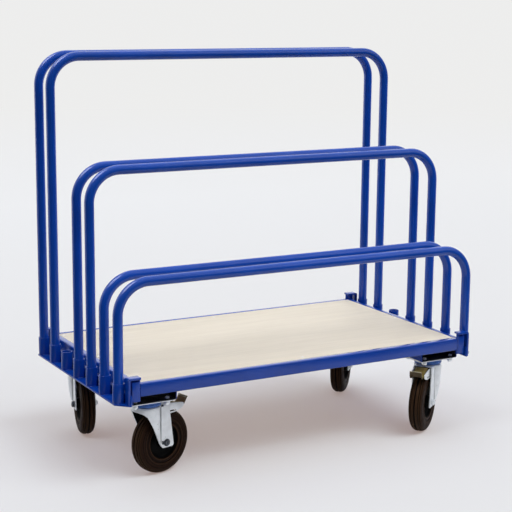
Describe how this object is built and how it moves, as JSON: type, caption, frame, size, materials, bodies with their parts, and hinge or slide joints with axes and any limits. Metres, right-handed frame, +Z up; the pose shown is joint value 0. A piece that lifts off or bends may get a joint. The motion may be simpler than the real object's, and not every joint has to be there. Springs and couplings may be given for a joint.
{
  "type": "sheet goods cart",
  "caption": "Low plywood-decked cart on swivel casters, with removable tube hoops of stepped height that stand in end sockets and hold boards upright.",
  "frame": {"origin": "on the floor, under the middle of the deck", "axes": "+Z up, +X along the deck's long side, -Y towards the low hoops at the front"},
  "size_m": [1.2966, 0.7166, 1.251],
  "materials": {
    "blue_paint": "gloss powder coat over steel",
    "deck_board": "pale sanded plywood",
    "zinc": "bright zinc plate",
    "swivel_ring": "blue swivel head",
    "tyre": "matt black rubber",
    "wheel_centre": "black moulded plastic",
    "brake_pedal": "olive passivated zinc"
  },
  "bodies": {
    "chassis": {"front_rail": "blue_paint", "rear_rail": "blue_paint", "left_end_rail": "blue_paint", "right_end_rail": "blue_paint", "deck_panel": "deck_board", "front_left_post": "blue_paint", "front_right_post": "blue_paint", "rear_left_post": "blue_paint", "rear_right_post": "blue_paint", "left_ledge": "blue_paint", "socket_left_1": "blue_paint", "socket_left_2": "blue_paint", "socket_left_3": "blue_paint", "socket_left_4": "blue_paint", "socket_left_5": "blue_paint", "socket_left_6": "blue_paint", "socket_left_7": "blue_paint", "left_cross_channel": "blue_paint", "right_ledge": "blue_paint", "socket_right_1": "blue_paint", "socket_right_2": "blue_paint", "socket_right_3": "blue_paint", "socket_right_4": "blue_paint", "socket_right_5": "blue_paint", "socket_right_6": "blue_paint", "socket_right_7": "blue_paint", "right_cross_channel": "blue_paint", "front_left_top_plate": "zinc", "front_left_swivel_ring": "swivel_ring", "front_right_top_plate": "zinc", "front_right_swivel_ring": "swivel_ring", "rear_left_top_plate": "zinc", "rear_left_swivel_ring": "swivel_ring", "rear_right_top_plate": "zinc", "rear_right_swivel_ring": "swivel_ring"},
    "hoop_low_front": {"hoop_low_front": "blue_paint"},
    "hoop_low_rear": {"hoop_low_rear": "blue_paint"},
    "hoop_medium_front": {"hoop_medium_front": "blue_paint"},
    "hoop_medium_rear": {"hoop_medium_rear": "blue_paint"},
    "hoop_tall_front": {"hoop_tall_front": "blue_paint"},
    "hoop_tall_rear": {"hoop_tall_rear": "blue_paint"},
    "front_left_swivel": {"front_left_fork": "zinc", "front_left_axle": "zinc"},
    "front_left_wheel": {"front_left_tyre": "tyre", "front_left_wheel_centre": "wheel_centre"},
    "front_left_pedal": {"front_left_brake_pedal": "brake_pedal"},
    "front_right_swivel": {"front_right_fork": "zinc", "front_right_axle": "zinc"},
    "front_right_wheel": {"front_right_tyre": "tyre", "front_right_wheel_centre": "wheel_centre"},
    "front_right_pedal": {"front_right_brake_pedal": "brake_pedal"},
    "rear_left_swivel": {"rear_left_fork": "zinc", "rear_left_axle": "zinc"},
    "rear_left_wheel": {"rear_left_tyre": "tyre", "rear_left_wheel_centre": "wheel_centre"},
    "rear_right_swivel": {"rear_right_fork": "zinc", "rear_right_axle": "zinc"},
    "rear_right_wheel": {"rear_right_tyre": "tyre", "rear_right_wheel_centre": "wheel_centre"}
  },
  "joints": [
    {"name": "hoop_low_front_lift", "type": "slide", "parent": "chassis", "child": "hoop_low_front", "axis": [0, 0, 1], "range_m": [0, 0.08]},
    {"name": "hoop_low_rear_lift", "type": "slide", "parent": "chassis", "child": "hoop_low_rear", "axis": [0, 0, 1], "range_m": [0, 0.08]},
    {"name": "hoop_medium_front_lift", "type": "slide", "parent": "chassis", "child": "hoop_medium_front", "axis": [0, 0, 1], "range_m": [0, 0.08]},
    {"name": "hoop_medium_rear_lift", "type": "slide", "parent": "chassis", "child": "hoop_medium_rear", "axis": [0, 0, 1], "range_m": [0, 0.08]},
    {"name": "hoop_tall_front_lift", "type": "slide", "parent": "chassis", "child": "hoop_tall_front", "axis": [0, 0, 1], "range_m": [0, 0.08]},
    {"name": "hoop_tall_rear_lift", "type": "slide", "parent": "chassis", "child": "hoop_tall_rear", "axis": [0, 0, 1], "range_m": [0, 0.08]},
    {"name": "front_left_swivel_turn", "type": "hinge", "parent": "chassis", "child": "front_left_swivel", "pos_m": [-0.52, -0.258, 0.2], "axis": [0, 0, 1], "continuous": true},
    {"name": "front_left_wheel_spin", "type": "hinge", "parent": "front_left_swivel", "child": "front_left_wheel", "pos_m": [-0.46952, -0.24551, 0.1], "axis": [-0.2402, 0.9707, 0], "continuous": true},
    {"name": "front_left_brake", "type": "hinge", "parent": "front_left_swivel", "child": "front_left_pedal", "pos_m": [-0.43846, -0.23782, 0.1997], "axis": [-0.2402, 0.9707, 0], "range_deg": [0, 16]},
    {"name": "front_right_swivel_turn", "type": "hinge", "parent": "chassis", "child": "front_right_swivel", "pos_m": [0.52, -0.258, 0.2], "axis": [0, 0, 1], "continuous": true},
    {"name": "front_right_wheel_spin", "type": "hinge", "parent": "front_right_swivel", "child": "front_right_wheel", "pos_m": [0.47891, -0.28987, 0.1], "axis": [0.6129, -0.7902, 0], "continuous": true},
    {"name": "front_right_brake", "type": "hinge", "parent": "front_right_swivel", "child": "front_right_pedal", "pos_m": [0.45363, -0.30948, 0.1997], "axis": [0.6129, -0.7902, 0], "range_deg": [0, 16]},
    {"name": "rear_left_swivel_turn", "type": "hinge", "parent": "chassis", "child": "rear_left_swivel", "pos_m": [-0.52, 0.258, 0.2], "axis": [0, 0, 1], "continuous": true},
    {"name": "rear_left_wheel_spin", "type": "hinge", "parent": "rear_left_swivel", "child": "rear_left_wheel", "pos_m": [-0.5309, 0.20716, 0.1], "axis": [0.9778, -0.2096, 0], "continuous": true},
    {"name": "rear_right_swivel_turn", "type": "hinge", "parent": "chassis", "child": "rear_right_swivel", "pos_m": [0.52, 0.258, 0.2], "axis": [0, 0, 1], "continuous": true},
    {"name": "rear_right_wheel_spin", "type": "hinge", "parent": "rear_right_swivel", "child": "rear_right_wheel", "pos_m": [0.48388, 0.22059, 0.1], "axis": [0.7193, -0.6947, 0], "continuous": true}
  ]
}
